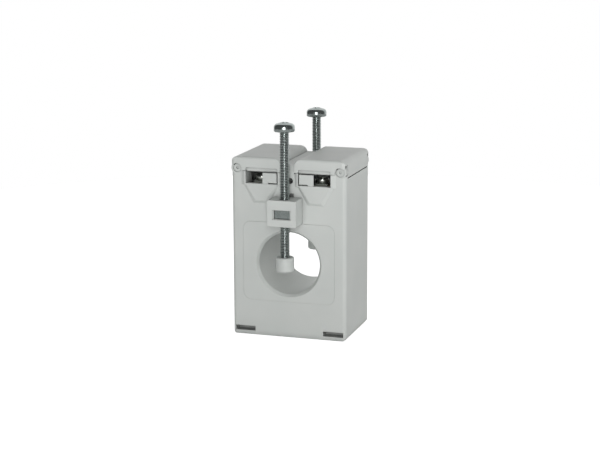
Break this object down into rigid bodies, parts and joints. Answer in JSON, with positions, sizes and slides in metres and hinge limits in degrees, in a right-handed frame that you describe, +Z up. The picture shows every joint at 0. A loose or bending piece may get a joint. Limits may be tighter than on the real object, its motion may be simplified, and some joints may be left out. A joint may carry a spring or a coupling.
{
  "type": "current transformer",
  "caption": "Window-type current transformer with hinged terminal lids and screw clamps that hold a busbar in its round primary window.",
  "frame": {"origin": "middle of the case's bottom face", "axes": "+Z up, +Y along the primary window from front to back, +X to the right seen from the front"},
  "size_m": [0.06, 0.0644, 0.1113],
  "materials": {
    "case_plastic": "fine moulded grain, light grey",
    "cap_plastic": "smooth moulded, pale grey",
    "zinc_steel": "bright zinc plate",
    "nickel_steel": "bright nickel plate",
    "bar_brass": "nickel-plated brass",
    "core_strip": "wound silicon-steel strip",
    "wrap_paper": "insulating paper",
    "winding_wire": "enamelled copper wire",
    "winding_tape": "polyester tape",
    "lead_sleeve": "plastic sleeve"
  },
  "bodies": {
    "case": {"housing": "case_plastic", "back_cover": "case_plastic", "front_clamp_block": "case_plastic", "rear_clamp_block": "case_plastic", "front_clamp_nut": "zinc_steel", "rear_clamp_nut": "zinc_steel", "left_terminal_bar": "bar_brass", "right_terminal_bar": "bar_brass", "core": "core_strip", "core_wrap": "wrap_paper", "secondary_winding": "winding_wire", "winding_tape": "winding_tape", "left_lead": "lead_sleeve", "right_lead": "lead_sleeve"},
    "left_lid": {"left_lid": "case_plastic"},
    "right_lid": {"right_lid": "case_plastic"},
    "front_tip": {"front_tip_cap": "cap_plastic"},
    "front_screw": {"front_clamp_screw": "zinc_steel"},
    "rear_tip": {"rear_tip_cap": "cap_plastic"},
    "rear_screw": {"rear_clamp_screw": "zinc_steel"},
    "left_inner_washer": {"left_inner_clamp_washer": "nickel_steel"},
    "left_inner_screw": {"left_inner_terminal_screw": "nickel_steel"},
    "left_outer_washer": {"left_outer_clamp_washer": "nickel_steel"},
    "left_outer_screw": {"left_outer_terminal_screw": "nickel_steel"},
    "right_inner_washer": {"right_inner_clamp_washer": "nickel_steel"},
    "right_inner_screw": {"right_inner_terminal_screw": "nickel_steel"},
    "right_outer_washer": {"right_outer_clamp_washer": "nickel_steel"},
    "right_outer_screw": {"right_outer_terminal_screw": "nickel_steel"}
  },
  "joints": [
    {"name": "left_lid_hinge", "type": "hinge", "parent": "case", "child": "left_lid", "pos_m": [-0.0269, 0, 0.086], "axis": [0, -1, 0], "range_deg": [0, 90]},
    {"name": "right_lid_hinge", "type": "hinge", "parent": "case", "child": "right_lid", "pos_m": [0.0269, 0, 0.086], "axis": [0, 1, 0], "range_deg": [0, 90]},
    {"name": "front_clamp_slide", "type": "slide", "parent": "case", "child": "front_tip", "axis": [0, 0, 1], "range_m": [-0.0335, 0.0185]},
    {"name": "front_screw_turn", "type": "hinge", "parent": "front_tip", "child": "front_screw", "pos_m": [0, -0.0268, 0.08], "axis": [0, 0, 1], "range_deg": [-15079, 8329]},
    {"name": "rear_clamp_slide", "type": "slide", "parent": "case", "child": "rear_tip", "axis": [0, 0, 1], "range_m": [-0.0335, 0.0182]},
    {"name": "rear_screw_turn", "type": "hinge", "parent": "rear_tip", "child": "rear_screw", "pos_m": [0, 0.0268, 0.08], "axis": [0, 0, 1], "range_deg": [-15079, 8194]},
    {"name": "left_inner_washer_slide", "type": "slide", "parent": "case", "child": "left_inner_washer", "axis": [0, 0, 1], "range_m": [0, 0.0035]},
    {"name": "left_inner_screw_turn", "type": "hinge", "parent": "left_inner_washer", "child": "left_inner_screw", "pos_m": [-0.0085, -0.0145, 0.079], "axis": [0, 0, 1], "range_deg": [0, 1801]},
    {"name": "left_outer_washer_slide", "type": "slide", "parent": "case", "child": "left_outer_washer", "axis": [0, 0, 1], "range_m": [0, 0.0035]},
    {"name": "left_outer_screw_turn", "type": "hinge", "parent": "left_outer_washer", "child": "left_outer_screw", "pos_m": [-0.0159, -0.0145, 0.079], "axis": [0, 0, 1], "range_deg": [0, 1801]},
    {"name": "right_inner_washer_slide", "type": "slide", "parent": "case", "child": "right_inner_washer", "axis": [0, 0, 1], "range_m": [0, 0.0035]},
    {"name": "right_inner_screw_turn", "type": "hinge", "parent": "right_inner_washer", "child": "right_inner_screw", "pos_m": [0.0085, -0.0145, 0.079], "axis": [0, 0, 1], "range_deg": [0, 1801]},
    {"name": "right_outer_washer_slide", "type": "slide", "parent": "case", "child": "right_outer_washer", "axis": [0, 0, 1], "range_m": [0, 0.0035]},
    {"name": "right_outer_screw_turn", "type": "hinge", "parent": "right_outer_washer", "child": "right_outer_screw", "pos_m": [0.0159, -0.0145, 0.079], "axis": [0, 0, 1], "range_deg": [0, 1801]}
  ],
  "couplings": [
    {"joint": "front_screw_turn", "follows": "front_clamp_slide", "rad_per_m": 7854},
    {"joint": "rear_screw_turn", "follows": "rear_clamp_slide", "rad_per_m": 7854},
    {"joint": "left_inner_screw_turn", "follows": "left_inner_washer_slide", "rad_per_m": 8976},
    {"joint": "left_outer_screw_turn", "follows": "left_outer_washer_slide", "rad_per_m": 8976},
    {"joint": "right_inner_screw_turn", "follows": "right_inner_washer_slide", "rad_per_m": 8976},
    {"joint": "right_outer_screw_turn", "follows": "right_outer_washer_slide", "rad_per_m": 8976}
  ]
}
